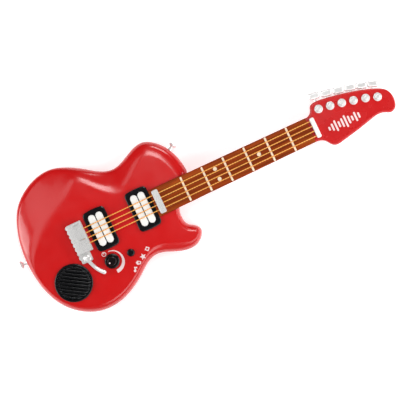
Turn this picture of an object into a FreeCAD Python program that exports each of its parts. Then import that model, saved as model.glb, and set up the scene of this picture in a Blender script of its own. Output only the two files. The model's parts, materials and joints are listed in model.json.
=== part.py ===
import FreeCAD, Part
import math
import os
from FreeCAD import Vector

# Toy electric guitar, lying on its back. Millimetres.
# Origin: on the neck's centreline, at the bridge, on the flat back of the body.
# +X runs towards the headstock, +Y towards the tuning pegs, +Z out of the face.

UP = Vector(0, 0, 1)

# Body shells: two mouldings that meet on one parting plane
PARTING_Z = 20.0
CROWN_Z = 42.0
SHELL_WALL = 3.0
SIDE_TOP_Z = 25.0
RIM_INSET = 9.0
RIM_SHARE = 0.62
RIM_END_DEG = 62.0
RIM_STEPS = 5
BEVEL_SLOPE = 0.34
BEVEL_DROP = 9.0
ROLL_WIDTH = 22.0
ROLL_STEPS = 5
CREASE_INSET = 10.5
CREASE_INSET_SHARE = 0.62
CREASE_FROM_Y = -20.0
CREASE_FULL_Y = 40.0
BACK_EDGE_R = 5.0

# Rows of outer edge x, y and crown edge x, y, counter-clockwise from the neck joint
BODY_OUTLINE = [
    (217.8, 30.0, 200.0, 28.0),
    (214.0, 53.0, 196.0, 51.0),
    (204.0, 76.5, 187.0, 69.0),
    (188.0, 95.5, 176.0, 80.5),
    (168.0, 105.6, 164.0, 86.8),
    (148.0, 102.3, 148.0, 81.0),
    (125.0, 91.3, 125.0, 64.5),
    (102.0, 85.0, 101.0, 50.5),
    (80.0, 91.5, 80.0, 60.0),
    (58.0, 106.5, 55.0, 84.0),
    (32.0, 121.8, 37.0, 96.5),
    (5.0, 130.8, 14.0, 81.0),
    (-22.0, 129.0, -13.0, 65.5),
    (-50.0, 117.2, -42.0, 50.0),
    (-75.0, 96.0, -65.0, 32.0),
    (-92.0, 62.5, -80.0, 14.0),
    (-100.5, 25.0, -89.0, -2.0),
    (-101.3, -15.0, -92.0, -22.0),
    (-94.2, -55.0, -85.0, -53.0),
    (-77.0, -91.0, -68.5, -84.0),
    (-50.0, -116.5, -44.0, -105.0),
    (-20.0, -129.0, -17.5, -116.3),
    (12.0, -129.4, 10.0, -116.5),
    (45.0, -117.8, 41.0, -107.0),
    (72.0, -100.2, 66.5, -91.0),
    (92.0, -86.3, 89.0, -75.0),
    (110.0, -81.5, 110.0, -64.5),
    (132.0, -87.5, 131.0, -65.5),
    (158.0, -96.4, 156.0, -77.0),
    (178.0, -96.0, 175.5, -84.0),
    (192.0, -86.5, 185.5, -80.5),
    (197.3, -74.5, 188.0, -75.5),
    (193.5, -66.2, 184.5, -73.0),
    (180.5, -56.5, 172.5, -65.5),
    (175.8, -43.0, 166.5, -47.0),
    (177.5, -28.0, 167.5, -28.0),
    (192.0, -5.0, 181.0, -4.0),
    (208.0, 13.0, 194.0, 13.0),
]

# Screw posts that hold the two body shells together
BODY_SCREW_XY = [
    (-84.0, 25.0),
    (-52.0, 90.0),
    (20.0, 108.0),
    (100.0, 63.0),
    (180.0, 75.0),
    (150.0, -82.0),
    (50.0, -101.0),
    (-10.0, -116.0),
    (-84.0, -28.0),
]
POST_R = 5.0
SCREW_SHANK_R = 1.4
SCREW_HOLE_R = 1.7
SCREW_HEAD_R = 3.2
SCREW_HEAD_H = 2.6
SCREW_SINK = 3.0
COUNTERBORE_R = 3.7
BODY_SCREW_TOP = 29.0

# Neck and fretboard
NECK_BACK_Z = 23.0
NECK_START_X = 150.0
NECK_END_X = 441.0
TENON_END_X = 216.0
TENON_HALF_W = 24.4
NECK_SIDE_Z = 38.0
NECK_WALL = 2.6
NECK_HALF_W_BODY = 24.6
NECK_HALF_W_NUT = 22.6
NECK_SCREW_XY = [(159.0, -14.0), (159.0, 14.0), (177.0, -14.0), (177.0, 14.0)]
NECK_SCREW_TOP = 34.0
POCKET_GAP = 0.3
FRETBOARD_START_X = 141.9
FRETBOARD_TOP_Z = 47.0
FRETBOARD_CHAMFER = 1.6
FRET_X = [202.5, 242.5, 282.5, 322.5, 363.0, 403.0]
FRET_W = 3.6
FRET_HALF_LEN = 22.4
FRET_H = 1.3
DOT_R = 3.5
DOT_XY = [(263.0, 9.5), (263.0, -9.5), (342.5, 0.0)]
PRINT_H = 0.3

# Strings
STRING_Y = [13.65, 4.55, -4.55, -13.65]
STRING_R = 1.0
STRING_HOLE_R = 1.06
STRING_Z = 50.5
STRING_START_X = 6.0
STRING_END_X = 451.0
NUT_X = 450.0
NUT_HALF = (4.0, 18.4)
NUT_TOP_Z = 52.6
RETAINER_X = 151.8
RETAINER_HALF = (5.7, 21.5)
RETAINER_TOP_Z = 53.4

# Headstock
HEADSTOCK_BACK_Z = 24.0
HEADSTOCK_SPLIT_Z = 33.0
HEADSTOCK_WALL = 2.6
HEADSTOCK_RIM_R = 3.0
HEADSTOCK_OUTLINE = [
    (441.0, 22.6),
    (448.0, 23.6),
    (454.0, 29.0),
    (459.0, 38.6),
    (466.0, 40.9),
    (484.0, 39.9),
    (508.0, 36.0),
    (532.0, 30.8),
    (556.0, 24.0),
    (576.0, 16.4),
    (589.0, 8.0),
    (595.0, -4.0),
    (595.3, -15.0),
    (591.0, -26.5),
    (582.5, -31.2),
    (571.0, -27.0),
    (561.0, -25.0),
    (544.0, -27.8),
    (514.0, -35.0),
    (484.0, -41.0),
    (470.0, -41.6),
    (463.0, -36.0),
    (457.0, -27.8),
    (448.0, -23.4),
    (441.0, -22.6),
]
HEADSTOCK_SCREW_XY = [(474.0, -27.0), (534.0, -17.0), (583.0, -17.0)]
HEADSTOCK_SCREW_TOP = 38.0
HEADSTOCK_POST_R = 3.6

# Tuners
TUNER_POST_XY = [(469.2, 27.0), (489.7, 23.6), (510.0, 19.5), (530.0, 14.8), (550.7, 9.5), (570.4, 2.6)]
TUNER_POST_R = 7.4
TUNER_FLANGE_H = 2.2
TUNER_CAP_R = 4.6
TUNER_CAP_H = 6.0
PEG_XY = [(472.0, 50.2), (493.5, 45.7), (514.0, 41.3), (534.5, 37.3), (554.0, 31.8), (573.0, 26.2)]
PEG_LEAN_DEG = [8.0, 10.0, 12.0, 14.5, 17.0, 20.0]
PEG_STANDOFF = 0.9
PEG_LENGTH = 19.6
PEG_DEPTH = 12.2
PEG_THICK = 10.0
PEG_SHAFT_R = 2.5
PEG_SHAFT_GAP = 0.08
PEG_REACH = 17.0
PEG_COLLAR_R = 4.2
PEG_COLLAR_H = 1.6

# Pickups
PICKUP_X = {"bridge": 41.0, "neck": 121.0}
BEZEL_HALF = (20.6, 37.2)
BEZEL_CORNER_R = 9.0
BEZEL_TOP_Z = 46.0
BEZEL_BULGE_R = 100.0
BEZEL_SLOT = (17.6, 17.0)
BEZEL_SLOT_Z = 44.2
BAR_HALF = (6.2, 29.0)
BAR_OFFSET = 7.0
BAR_TOP_Z = 48.8
BAR_EDGE_R = 2.4

# Bridge and whammy bar
BRIDGE_X = (-12.8, 14.3)
BRIDGE_Y = (-26.5, 29.0)
BRIDGE_TAIL_X = (-12.4, 6.8)
BRIDGE_TAIL_Y = -43.0
BRIDGE_BASE_TOP_Z = 45.0
BRIDGE_BLOCK_TOP_Z = 53.6
BRIDGE_TAIL_TOP_Z = 49.4
SADDLE_PITCH = 8.0
SADDLE_LOBE_X = -10.8
SADDLE_LOBE_R = 4.3
GROOVE_PITCH = 4.5
GROOVE_TOP_Y = 23.5
GROOVE_COUNT = 11
BOLD_GROOVES = (0, 6)
WHAMMY_XY = (-1.5, -36.5)
WHAMMY_COLLAR_R = 7.6
WHAMMY_COLLAR_TOP_Z = 51.2
WHAMMY_POST_R = 2.5
WHAMMY_POST_GAP = 0.08
WHAMMY_ARM_Z = 54.8
WHAMMY_ARM_R = 3.4
WHAMMY_ARM_XY = [(-1.5, -36.5), (2.8, -50.0), (7.4, -60.5), (15.0, -70.0)]
WHAMMY_TIP_R = 4.0
SPRING_R = 5.0
SPRING_WIRE_R = 0.58
SPRING_TURNS = 4
SPRING_STEPS = 20
SPRING_SIDES = 8
SPRING_PITCH = 1.3
SPRING_BASE_Z = 31.5

# Controls
KNOB_XY = (34.8, -58.8)
KNOB_SKIRT_R = 13.2
KNOB_CAP_R = 7.6
KNOB_BASE_Z = 42.4
KNOB_SKIRT_TOP_Z = 48.0
KNOB_TOP_Z = 54.5
POT_SHAFT_R = 3.0
POT_BUSH_R = 4.4
POT_BODY_R = 8.4
BUTTON_XY = (70.0, -59.4)
BUTTON_R = 6.5
BUTTON_HOLE_R = 6.8
BUTTON_TOP_Z = 46.0

# Circuit board
BOARD_Z = (24.0, 25.6)
BOARD_POST_XY = [(20.0, -82.0), (20.0, -42.0), (66.0, -42.0), (62.0, -84.0)]

# Speaker
SPEAKER_XY = (-41.4, -64.9)
GRILLE_R = 33.3
GRILLE_INNER_R = 29.4
GRILLE_TOP_Z = 45.4
SPEAKER_HOLE_R = 31.0
LOUVRE_PITCH = 5.8
LOUVRE_W = 4.5
LOUVRE_LEAN_DEG = -32.0
LOUVRE_COUNT = 10

# Battery compartment, three AA cells side by side
BATTERY_BOX_X = (-42.0, 32.0)
CELL_ROOM_END_X = 15.6
DOOR_SCREW_XY = (24.0, 52.0)
BATTERY_BOX_Y = (26.0, 78.0)
BATTERY_BOX_TOP_Z = 19.6
CELL_R = 7.1
CELL_LENGTH = 50.0
CELL_PITCH = 15.6
DOOR_GAP = 0.4
DOOR_THICK = 2.4
DOOR_PROUD_Z = 0.4

# Leads inside the body, each a list of route points
LEAD_R = 0.7
SPEAKER_LEAD = [(-17.0, -63.0, 32.6), (-10.0, -63.0, 32.6), (-1.5, -66.4, 33.6),
                (8.0, -64.0, 31.0), (17.95, -64.0, 31.0)]
BATTERY_LEAD = [
    (7.0, 25.95, 13.0),
    (7.0, 16.0, 13.0),
    (6.2, 1.0, 16.0),
    (8.8, -13.0, 17.8),
    (6.6, -27.0, 19.4),
    (9.0, -41.0, 21.2),
    (8.0, -54.0, 22.6),
    (8.0, -72.0, 27.0),
    (17.95, -72.0, 27.0),
]
SENSOR_LEAD = [(12.05, -19.0, 37.4), (19.0, -19.0, 37.4), (40.0, -42.0, 35.4), (40.0, -42.0, 25.65)]

# Strap buttons
STRAP_TAIL_BASE = Vector(-101.9, 2.0, 18.0)
STRAP_HORN_BASE = Vector(205.75, 73.46, 18.0)
STRAP_HORN_DEG = 31.6
STRAP_STEM_R = 3.6
STRAP_CAP_R = 7.4
STRAP_LENGTH = 12.0


def save(name, solids):
    """Write one sub-part, a single solid or a group of them."""
    group = solids if isinstance(solids, list) else [solids]
    shape = group[0] if len(group) == 1 else Part.makeCompound(group)
    print(name, "volume", round(shape.Volume), "solids", len(shape.Solids), "valid", shape.isValid())
    shape.exportStep("parts/" + name + ".step")


def box(x, y, z):
    """A block between the two values of each pair."""
    return Part.makeBox(x[1] - x[0], y[1] - y[0], z[1] - z[0], Vector(x[0], y[0], z[0]))


def rod(xy, radius, z0, z1):
    return Part.makeCylinder(radius, z1 - z0, Vector(xy[0], xy[1], z0))


def prism(points, z0, z1):
    """An upright prism over a closed polygon."""
    corners = [Vector(x, y, z0) for x, y in points]
    return Part.Face(Part.makePolygon(corners + corners[:1])).extrude(Vector(0, 0, z1 - z0))


def rounded_block(centre, half, radius, z0, z1):
    """An upright block with rounded vertical edges."""
    x, y = centre
    plain = box((x - half[0], x + half[0]), (y - half[1], y + half[1]), (z0, z1))
    upright = [e for e in plain.Edges if abs(e.tangentAt(e.FirstParameter).z) > 0.9]
    return plain.makeFillet(radius, upright)


def edges_at(shape, z):
    """The edges that lie in the level plane z."""
    return [e for e in shape.Edges if abs(e.BoundBox.ZMin - z) < 0.01 and abs(e.BoundBox.ZMax - z) < 0.01]


def join(shapes):
    return shapes[0].fuse(shapes[1:]).removeSplitter()


def inward_normals(points):
    normals = []
    for i, after in enumerate(points[1:] + points[:1]):
        along = after - points[i - 1]
        normals.append(Vector(-along.y, along.x, 0).normalize())
    return normals


def body_curves():
    """Outer and crown points, the inward normals and one shared spline parameter list."""
    outer = [Vector(row[0], row[1], 0) for row in BODY_OUTLINE]
    crown = [Vector(row[2], row[3], 0) for row in BODY_OUTLINE]
    knots = [0.0]
    for here, after in zip(outer, outer[1:] + outer[:1]):
        knots.append(knots[-1] + (after - here).Length)
    return outer, crown, inward_normals(outer), knots


def ring(points, knots):
    curve = Part.BSplineCurve()
    curve.interpolate(Points=points, PeriodicFlag=True, Parameters=knots)
    return Part.Wire([curve.toShape()])


def front_section(p, q, top, side, start_z):
    """The front's cross-section: points from edge point p up the side and over the rim to crown point q."""
    reach = (q - p).Length
    toward = (q - p) * (1 / reach)
    rim = min(RIM_INSET, RIM_SHARE * reach)
    run = reach - rim
    roll = min(ROLL_WIDTH, run * 0.8)
    slope = min(BEVEL_SLOPE, BEVEL_DROP / (run - roll / 2))
    rise = top - slope * (run - roll / 2) - side
    end = math.radians(RIM_END_DEG)
    points = [p + UP * start_z]
    for k in range(RIM_STEPS + 1):
        turn = end * k / RIM_STEPS
        inset = rim * (1 - math.cos(turn)) / (1 - math.cos(end))
        points.append(p + toward * inset + UP * (side + rise * math.sin(turn) / math.sin(end)))
    halfway = (run + roll) / 2
    points.append(q - toward * halfway + UP * (top - slope * (halfway - roll / 2)))
    for k in range(ROLL_STEPS, -1, -1):
        back = roll * k / ROLL_STEPS
        points.append(q - toward * back + UP * (top - slope * back ** 2 / (2 * roll)))
    return points


def front_form(skin):
    """The carved front of the body, from the parting plane to the crown, moved inward by skin."""
    outer, crown, inward, knots = body_curves()
    sections = []
    for p, q, n in zip(outer, crown, inward):
        share = min(1, max(0, (q.y - CREASE_FROM_Y) / (CREASE_FULL_Y - CREASE_FROM_Y)))
        room = max(0, (q - p).Length - RIM_INSET)
        inset = share * min(CREASE_INSET, CREASE_INSET_SHARE * room)
        brow = q + n * (inset + skin * 0.4)
        start_z = PARTING_Z - (1 if skin else 0)
        sections.append(front_section(p + n * skin, brow, CROWN_Z - skin, SIDE_TOP_Z - skin / 2, start_z))
    wires = [ring(list(level), knots) for level in zip(*sections)]
    return Part.makeLoft(wires, True, True)


def back_form(skin):
    """The back of the body, flat with a rounded edge, moved inward by skin."""
    outer, _, inward, knots = body_curves()
    levels = []
    for k in range(4):
        turn = math.radians(30 * k)
        inset = BACK_EDGE_R * (1 - math.sin(turn))
        levels.append((skin + inset, skin + BACK_EDGE_R * (1 - math.cos(turn))))
    levels.append((skin, PARTING_Z + (1 if skin else 0)))
    wires = []
    for inset, z in levels:
        wires.append(ring([p + n * inset + UP * z for p, n in zip(outer, inward)], knots))
    return Part.makeLoft(wires, True, True)


def body_front_shell():
    outside = front_form(0)
    shell = outside.cut(front_form(SHELL_WALL))
    posts = [rod(xy, POST_R, PARTING_Z, CROWN_Z) for xy in BODY_SCREW_XY]
    socket = box((NECK_START_X - 4, 225), (-TENON_HALF_W - 4, TENON_HALF_W + 4), (PARTING_Z, CROWN_Z))
    inside = [piece.common(outside) for piece in posts + [socket]]
    shell = join([shell] + inside)
    holes = [rod(xy, SCREW_SHANK_R, PARTING_Z - 1, BODY_SCREW_TOP + 1) for xy in BODY_SCREW_XY]
    holes += [rod(xy, SCREW_HOLE_R, PARTING_Z - 1, NECK_BACK_Z + 1) for xy in NECK_SCREW_XY]
    side = TENON_HALF_W + POCKET_GAP
    holes.append(box((NECK_START_X - POCKET_GAP, 230), (-side, side), (NECK_BACK_Z, CROWN_Z + 1)))
    roof = (CROWN_Z - SHELL_WALL - 1, CROWN_Z + 1)
    holes.append(rod(SPEAKER_XY, SPEAKER_HOLE_R, *roof))
    holes.append(rod(KNOB_XY, POT_BUSH_R + 0.2, *roof))
    holes.append(rod(BUTTON_XY, BUTTON_HOLE_R, *roof))
    holes.append(rod(WHAMMY_XY, WHAMMY_POST_R + 0.6, *roof))
    for x in PICKUP_X.values():
        holes.append(box((x - 12, x + 12), (-20, 20), roof))
    holes += strap_pilot_holes()
    return shell.cut(holes)


def strap_axes():
    """Base point and outward direction of the tail and the horn strap button."""
    lean = math.radians(STRAP_HORN_DEG)
    return [(STRAP_TAIL_BASE, Vector(-1, 0, 0)), (STRAP_HORN_BASE, Vector(math.cos(lean), math.sin(lean), 0))]


def strap_pilot_holes():
    return [Part.makeCylinder(SCREW_SHANK_R, 16, base - out * 12, out) for base, out in strap_axes()]


def screw_tunnel(xy, top):
    """Counterbore and clearance hole that a screw passes from the back."""
    return [rod(xy, COUNTERBORE_R, -1, SCREW_SINK + SCREW_HEAD_H), rod(xy, SCREW_HOLE_R, -1, top)]


def body_back_shell():
    outside = back_form(0)
    shell = outside.cut(back_form(SHELL_WALL))
    posts = [rod(xy, POST_R + 1, 0, PARTING_Z) for xy in BODY_SCREW_XY + NECK_SCREW_XY]
    shell = join([shell] + [post.common(outside) for post in posts])
    shell = join([shell] + [rod(xy, 3.0, SHELL_WALL - 1, BOARD_Z[0]) for xy in BOARD_POST_XY])
    holes = [rod(xy, SCREW_SHANK_R, BOARD_Z[0] - 8, BOARD_Z[0] + 1) for xy in BOARD_POST_XY]
    for xy in BODY_SCREW_XY + NECK_SCREW_XY:
        holes += screw_tunnel(xy, PARTING_Z + 1)
    x, y = BATTERY_BOX_X, BATTERY_BOX_Y
    holes.append(box((x[0] + 3, x[1] - 3), (y[0] + 3, y[1] - 3), (-1, SHELL_WALL + 1)))
    holes += strap_pilot_holes()
    return shell.cut(holes)


def neck_section(x, half_width, skin):
    """D-shaped neck section: flat on top, round at the back."""
    half = half_width - skin
    side_z = NECK_SIDE_Z
    back_z = NECK_BACK_Z + skin
    a = Vector(x, -half, CROWN_Z)
    b = Vector(x, -half, side_z)
    c = Vector(x, half, side_z)
    d = Vector(x, half, CROWN_Z)
    back = Part.Arc(b, Vector(x, 0, back_z), c).toShape()
    lines = [Part.makeLine(a, b), back, Part.makeLine(c, d), Part.makeLine(d, a)]
    return Part.Wire(lines)


def half_width_at(x):
    share = (x - NECK_START_X) / (NECK_END_X - NECK_START_X)
    return NECK_HALF_W_BODY + (NECK_HALF_W_NUT - NECK_HALF_W_BODY) * share


def headstock_form(z0, z1, skin):
    """The headstock outline as an upright slab, moved inward by skin."""
    outline = [Vector(x, y, z0) for x, y in reversed(HEADSTOCK_OUTLINE)]
    points = [p + n * skin for p, n in zip(outline, inward_normals(outline))]
    curve = Part.BSplineCurve()
    curve.interpolate(Points=points)
    wire = Part.Wire([curve.toShape(), Part.makeLine(points[-1], points[0])])
    return Part.Face(wire).extrude(Vector(0, 0, z1 - z0))


def peg_axes():
    """Knob centre and outward direction of each tuning peg, on the headstock's parting plane."""
    axes = []
    for xy, lean in zip(PEG_XY, PEG_LEAN_DEG):
        turn = math.radians(lean)
        out = Vector(math.sin(turn), math.cos(turn), 0)
        axes.append((Vector(xy[0], xy[1], HEADSTOCK_SPLIT_Z) + out * PEG_STANDOFF, out))
    return axes


def peg_bores():
    """Shaft holes for the pegs, half in each headstock moulding."""
    radius = PEG_SHAFT_R + PEG_SHAFT_GAP
    return [Part.makeCylinder(radius, PEG_REACH + 2, at - out * (PEG_REACH + 1), out)
            for at, out in peg_axes()]


def neck_back_shell():
    start = neck_section(NECK_START_X, NECK_HALF_W_BODY, 0)
    middle = neck_section(TENON_END_X, half_width_at(TENON_END_X), 0)
    end = neck_section(NECK_END_X + 4, half_width_at(NECK_END_X + 4), 0)
    neck = Part.makeLoft([middle, end], True, True)
    half = TENON_HALF_W
    tenon = box((NECK_START_X, TENON_END_X), (-half, half), (NECK_BACK_Z, CROWN_Z))
    head = headstock_form(HEADSTOCK_BACK_Z, HEADSTOCK_SPLIT_Z, 0)
    rim = max(edges_at(head, HEADSTOCK_BACK_Z), key=lambda edge: edge.Length)
    head = head.makeFillet(2.5, [rim])
    shell = join([neck, tenon, head])
    hollow_from = TENON_END_X + 3
    hollow_to = NECK_END_X - 3
    inner_start = neck_section(hollow_from, half_width_at(hollow_from), NECK_WALL)
    inner_end = neck_section(hollow_to, half_width_at(hollow_to), NECK_WALL)
    inner = Part.makeLoft([inner_start, inner_end], True, True)
    cavity = headstock_form(HEADSTOCK_BACK_Z + HEADSTOCK_WALL, HEADSTOCK_SPLIT_Z + 1, HEADSTOCK_WALL)
    posts = [rod(xy, HEADSTOCK_POST_R, HEADSTOCK_BACK_Z, HEADSTOCK_SPLIT_Z) for xy in HEADSTOCK_SCREW_XY]
    step = box((NECK_END_X, 470), (-30, 30), (HEADSTOCK_SPLIT_Z, CROWN_Z + 1))
    shell = shell.cut([inner, cavity, step])
    shell = join([shell] + posts)
    holes = [rod(xy, SCREW_SHANK_R, NECK_BACK_Z - 1, NECK_SCREW_TOP + 1) for xy in NECK_SCREW_XY]
    for xy in HEADSTOCK_SCREW_XY:
        holes.append(rod(xy, SCREW_HOLE_R, HEADSTOCK_BACK_Z - 1, HEADSTOCK_SPLIT_Z + 1))
        holes.append(rod(xy, COUNTERBORE_R - 1, HEADSTOCK_BACK_Z - 1, HEADSTOCK_BACK_Z + SCREW_HEAD_H))
    return shell.cut(holes + peg_bores())


def headstock_front_shell():
    form = headstock_form(HEADSTOCK_SPLIT_Z, CROWN_Z, 0)
    rim = max(edges_at(form, CROWN_Z), key=lambda edge: edge.Length)
    form = form.makeFillet(HEADSTOCK_RIM_R, [rim])
    cavity = headstock_form(HEADSTOCK_SPLIT_Z - 1, CROWN_Z - HEADSTOCK_WALL, HEADSTOCK_WALL)
    shell = form.cut(cavity)
    posts = [rod(xy, HEADSTOCK_POST_R, HEADSTOCK_SPLIT_Z, CROWN_Z) for xy in HEADSTOCK_SCREW_XY]
    shell = join([shell] + posts)
    top = HEADSTOCK_SCREW_TOP + 1
    holes = [rod(xy, SCREW_SHANK_R, HEADSTOCK_SPLIT_Z - 1, top) for xy in HEADSTOCK_SCREW_XY]
    holes += [rod(xy, 2.1, CROWN_Z - HEADSTOCK_WALL - 1, CROWN_Z + 1) for xy in TUNER_POST_XY]
    return shell.cut(holes + peg_bores())


def fretboard():
    start, end = FRETBOARD_START_X, NECK_END_X - 0.2
    corners = [(start, -NECK_HALF_W_BODY), (end, -NECK_HALF_W_NUT),
               (end, NECK_HALF_W_NUT), (start, NECK_HALF_W_BODY)]
    board = prism(corners, CROWN_Z, FRETBOARD_TOP_Z)
    long_edges = [e for e in edges_at(board, FRETBOARD_TOP_Z) if e.Length > 100]
    return board.makeChamfer(FRETBOARD_CHAMFER, long_edges)


def frets():
    wires = []
    for x in FRET_X:
        bar = rounded_block((x, 0), (FRET_W / 2, FRET_HALF_LEN), FRET_W / 2 - 0.05,
                            FRETBOARD_TOP_Z, FRETBOARD_TOP_Z + FRET_H)
        wires.append(bar.makeFillet(0.8, edges_at(bar, FRETBOARD_TOP_Z + FRET_H)))
    return wires


def position_dots():
    return [rod(xy, DOT_R, FRETBOARD_TOP_Z, FRETBOARD_TOP_Z + PRINT_H) for xy in DOT_XY]


def string_bores():
    length = STRING_END_X - STRING_START_X
    start = STRING_START_X
    return [Part.makeCylinder(STRING_HOLE_R, length, Vector(start, y, STRING_Z), Vector(1, 0, 0))
            for y in STRING_Y]


def crossbar(x, half, z0, z1, corner):
    """A rounded bar across the strings, with the holes that they pass."""
    bar = rounded_block((x, 0), half, corner, z0, z1)
    bar = bar.makeFillet(1.5, edges_at(bar, z1))
    return bar.cut(string_bores())


def strings():
    length = STRING_END_X - STRING_START_X
    for i, y in enumerate(STRING_Y):
        string = Part.makeCylinder(STRING_R, length, Vector(STRING_START_X, y, STRING_Z), Vector(1, 0, 0))
        save("string_" + str(i + 1), string)


def pickup_bezel(x):
    bezel = rounded_block((x, 0), BEZEL_HALF, BEZEL_CORNER_R, CROWN_Z, BEZEL_TOP_Z)
    for side in (-1, 1):
        bezel = bezel.common(rod((x, side * (BEZEL_BULGE_R - BEZEL_HALF[1])), BEZEL_BULGE_R,
                                 CROWN_Z, BEZEL_TOP_Z))
    bezel = bezel.makeFillet(1.8, edges_at(bezel, BEZEL_TOP_Z))
    half = (BAR_HALF[0] + 0.25, BAR_HALF[1] + 0.25)
    cuts = [rounded_block((x + s * BAR_OFFSET, 0), half, half[0] - 0.05, CROWN_Z + 1.2, 50) for s in (-1, 1)]
    cuts.append(box((x - 8, x + 8), (-16, 16), (CROWN_Z - 1, CROWN_Z + 2)))
    cuts.append(rounded_block((x, 0), BEZEL_SLOT, 1.5, BEZEL_SLOT_Z, 50))
    return bezel.cut(cuts)


def pickup_bars(x):
    bars = []
    for side in (-1, 1):
        bar = rounded_block((x + side * BAR_OFFSET, 0), BAR_HALF, BAR_HALF[0] - 0.05,
                            CROWN_Z + 1.2, BAR_TOP_Z)
        bars.append(bar.makeFillet(BAR_EDGE_R, edges_at(bar, BAR_TOP_Z)))
    return bars


def bridge_base():
    x, y = BRIDGE_X, BRIDGE_Y
    middle = ((x[0] + x[1]) / 2, (y[0] + y[1]) / 2)
    main = rounded_block(middle, ((x[1] - x[0]) / 2, (y[1] - y[0]) / 2), 2.0, CROWN_Z, BRIDGE_BASE_TOP_Z)
    tail_x = BRIDGE_TAIL_X
    tail_middle = ((tail_x[0] + tail_x[1]) / 2, (BRIDGE_TAIL_Y + y[0] + 6) / 2)
    tail_half = ((tail_x[1] - tail_x[0]) / 2, (y[0] + 6 - BRIDGE_TAIL_Y) / 2)
    plate = join([main, rounded_block(tail_middle, tail_half, 2.5, CROWN_Z, BRIDGE_BASE_TOP_Z)])
    return plate.cut(rod(WHAMMY_XY, WHAMMY_POST_R + WHAMMY_POST_GAP, CROWN_Z - 1, 50))


def bridge_saddle_block():
    """The raised block over the string ends and its lower tail, scalloped at the back and grooved on top."""
    x = (SADDLE_LOBE_X - 2.4, BRIDGE_X[1] - 0.8)
    y = (BRIDGE_Y[0] + 0.8, BRIDGE_Y[1] - 0.8)
    tail_end = BRIDGE_TAIL_Y + 0.8
    corners = [(x[0], y[1]), (x[0], y[0]), (x[1] - 3, y[0]), (x[1], y[0] + 3), (x[1], y[1])]
    block = prism(corners, BRIDGE_BASE_TOP_Z, BRIDGE_BLOCK_TOP_Z)
    block = block.makeFillet(1.2, edges_at(block, BRIDGE_BLOCK_TOP_Z))
    tail = box((x[0], BRIDGE_TAIL_X[1] - 0.8), (tail_end, y[0] + 2), (BRIDGE_BASE_TOP_Z, BRIDGE_TAIL_TOP_Z))
    lobes = []
    lobe_y = y[1] - SADDLE_PITCH / 2
    while lobe_y - SADDLE_PITCH / 2 > tail_end - 0.5:
        top = BRIDGE_BLOCK_TOP_Z - 1.2 if lobe_y > y[0] + 2 else BRIDGE_TAIL_TOP_Z
        lobes.append(rod((SADDLE_LOBE_X, lobe_y), SADDLE_LOBE_R, BRIDGE_BASE_TOP_Z, top))
        lobe_y -= SADDLE_PITCH
    grooves = []
    for k in range(GROOVE_COUNT):
        middle = GROOVE_TOP_Y - k * GROOVE_PITCH
        half, depth, span = (1.0, 2.6, (-1, 10)) if k in BOLD_GROOVES else (0.7, 0.9, (-4, 12))
        grooves.append(box(span, (middle - half, middle + half), (BRIDGE_BLOCK_TOP_Z - depth, 60)))
    shape = join([block, tail] + lobes)
    return shape.cut(grooves + string_bores() + [rod(WHAMMY_XY, WHAMMY_POST_R + WHAMMY_POST_GAP, 40, 60)])


def whammy_collar():
    collar = rod(WHAMMY_XY, WHAMMY_COLLAR_R, BRIDGE_TAIL_TOP_Z, WHAMMY_COLLAR_TOP_Z)
    collar = collar.makeFillet(1.0, edges_at(collar, WHAMMY_COLLAR_TOP_Z))
    return collar.cut(rod(WHAMMY_XY, WHAMMY_POST_R + WHAMMY_POST_GAP, 40, 60))


def whammy_bar():
    """Post through the collar, a hub on top and a bent arm that ends in a rounded tip."""
    hub = rod(WHAMMY_XY, 5.6, WHAMMY_COLLAR_TOP_Z + 0.3, WHAMMY_ARM_Z + 2.4)
    hub = hub.makeFillet(1.4, edges_at(hub, WHAMMY_ARM_Z + 2.4))
    post = rod(WHAMMY_XY, WHAMMY_POST_R, SPRING_BASE_Z - 2, WHAMMY_ARM_Z)
    pieces = [hub, post]
    nodes = [Vector(x, y, WHAMMY_ARM_Z) for x, y in WHAMMY_ARM_XY]
    for a, b in zip(nodes, nodes[1:]):
        pieces.append(Part.makeCylinder(WHAMMY_ARM_R, (b - a).Length, a, b - a))
    for joint in nodes[1:-1]:
        pieces.append(Part.makeSphere(WHAMMY_ARM_R, joint))
    pieces.append(Part.makeSphere(WHAMMY_TIP_R, nodes[-1]))
    return join(pieces)


def whammy_return_spring():
    """Torsion spring wound round the post."""
    sections = []
    for step in range(SPRING_TURNS * SPRING_STEPS + 1):
        turn = 2 * math.pi * step / SPRING_STEPS
        corners = []
        for k in range(SPRING_SIDES):
            corner = 2 * math.pi * k / SPRING_SIDES
            reach = SPRING_R + SPRING_WIRE_R * math.cos(corner)
            z = SPRING_BASE_Z + SPRING_PITCH * step / SPRING_STEPS + SPRING_WIRE_R * math.sin(corner)
            corners.append(Vector(reach * math.cos(turn), reach * math.sin(turn), z))
        sections.append(Part.makePolygon(corners + corners[:1]))
    spring = Part.makeLoft(sections, True, True)
    spring.translate(Vector(WHAMMY_XY[0], WHAMMY_XY[1], 0))
    return spring


def whammy_switch():
    x, y = WHAMMY_XY
    case = box((x - 5, x + 5), (y - 16, y - 8), (30, 37))
    lever = box((x - 4, x + 4), (y - 8, y - 7.5), (31, 36))
    return join([case, lever])


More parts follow.
